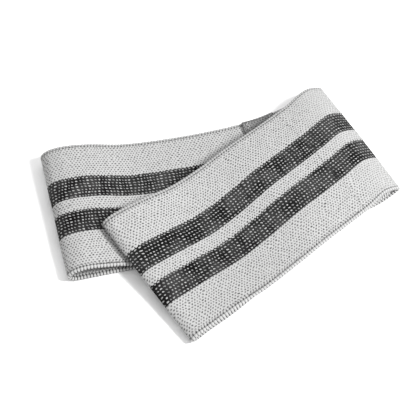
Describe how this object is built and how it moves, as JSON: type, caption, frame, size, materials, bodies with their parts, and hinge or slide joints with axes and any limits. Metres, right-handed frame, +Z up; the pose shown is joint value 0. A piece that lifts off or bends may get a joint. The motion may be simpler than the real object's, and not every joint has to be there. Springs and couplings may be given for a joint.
{
  "type": "looped fabric resistance band",
  "caption": "Wide woven elastic resistance band, a light loop with dark stripes, pressed flat, folded in half and fanned out.",
  "frame": {"origin": "middle of the bounding box, on the surface that the band lies on", "axes": "+X along the longest extent, from the free folds on the left to the shared fold on the right; +Y towards the far side; +Z up, the band's thinnest direction"},
  "size_m": [0.1942, 0.1648, 0.0172],
  "materials": {
    "light_yarn": "woven light grey elastic webbing, matt, a fine diagonal dot weave",
    "dark_yarn": "woven black warp with pale dashes across it, matt",
    "rubber_thread": "natural rubber threads, unseen inside the webbing",
    "sewing_thread": "spun polyester sewing thread, matt"
  },
  "bodies": {
    "lower_lobe": {"inner_turn_light_far_web": "light_yarn", "inner_turn_light_far_web_rubber_core": "rubber_thread", "inner_turn_dark_far_stripe": "dark_yarn", "inner_turn_dark_far_stripe_rubber_core": "rubber_thread", "inner_turn_light_centre_web": "light_yarn", "inner_turn_light_centre_web_rubber_core": "rubber_thread", "inner_turn_dark_near_stripe": "dark_yarn", "inner_turn_dark_near_stripe_rubber_core": "rubber_thread", "inner_turn_light_near_web": "light_yarn", "inner_turn_light_near_web_rubber_core": "rubber_thread", "inner_turn_far_selvedge": "light_yarn", "inner_turn_near_selvedge": "light_yarn", "back_light_far_web": "light_yarn", "back_light_far_web_rubber_core": "rubber_thread", "back_dark_far_stripe": "dark_yarn", "back_dark_far_stripe_rubber_core": "rubber_thread", "back_light_centre_web": "light_yarn", "back_light_centre_web_rubber_core": "rubber_thread", "back_dark_near_stripe": "dark_yarn", "back_dark_near_stripe_rubber_core": "rubber_thread", "back_light_near_web": "light_yarn", "back_light_near_web_rubber_core": "rubber_thread", "back_far_selvedge": "light_yarn", "back_near_selvedge": "light_yarn", "outer_turn_light_far_web": "light_yarn", "outer_turn_light_far_web_rubber_core": "rubber_thread", "outer_turn_dark_far_stripe": "dark_yarn", "outer_turn_dark_far_stripe_rubber_core": "rubber_thread", "outer_turn_light_centre_web": "light_yarn", "outer_turn_light_centre_web_rubber_core": "rubber_thread", "outer_turn_dark_near_stripe": "dark_yarn", "outer_turn_dark_near_stripe_rubber_core": "rubber_thread", "outer_turn_light_near_web": "light_yarn", "outer_turn_light_near_web_rubber_core": "rubber_thread", "outer_turn_far_selvedge": "light_yarn", "outer_turn_near_selvedge": "light_yarn", "seam_overlap": "light_yarn", "seam_stitch_row_fold_side": "sewing_thread", "seam_stitch_row_free_side": "sewing_thread"},
    "upper_lobe": {"front_light_far_web": "light_yarn", "front_light_far_web_rubber_core": "rubber_thread", "front_dark_far_stripe": "dark_yarn", "front_dark_far_stripe_rubber_core": "rubber_thread", "front_light_centre_web": "light_yarn", "front_light_centre_web_rubber_core": "rubber_thread", "front_dark_near_stripe": "dark_yarn", "front_dark_near_stripe_rubber_core": "rubber_thread", "front_light_near_web": "light_yarn", "front_light_near_web_rubber_core": "rubber_thread", "front_far_selvedge": "light_yarn", "front_near_selvedge": "light_yarn"}
  },
  "joints": [
    {"name": "unfold", "type": "hinge", "parent": "lower_lobe", "child": "upper_lobe", "pos_m": [0.077, 0.0469, 0.0087], "axis": [-0.4664, 0.8846, 0], "range_deg": [0, 179], "deforming": ["inner_turn_light_far_web", "inner_turn_light_far_web_rubber_core", "inner_turn_dark_far_stripe", "inner_turn_dark_far_stripe_rubber_core", "inner_turn_light_centre_web", "inner_turn_light_centre_web_rubber_core", "inner_turn_dark_near_stripe", "inner_turn_dark_near_stripe_rubber_core", "inner_turn_light_near_web", "inner_turn_light_near_web_rubber_core", "inner_turn_far_selvedge", "inner_turn_near_selvedge", "outer_turn_light_far_web", "outer_turn_light_far_web_rubber_core", "outer_turn_dark_far_stripe", "outer_turn_dark_far_stripe_rubber_core", "outer_turn_light_centre_web", "outer_turn_light_centre_web_rubber_core", "outer_turn_dark_near_stripe", "outer_turn_dark_near_stripe_rubber_core", "outer_turn_light_near_web", "outer_turn_light_near_web_rubber_core", "outer_turn_far_selvedge", "outer_turn_near_selvedge"]}
  ]
}
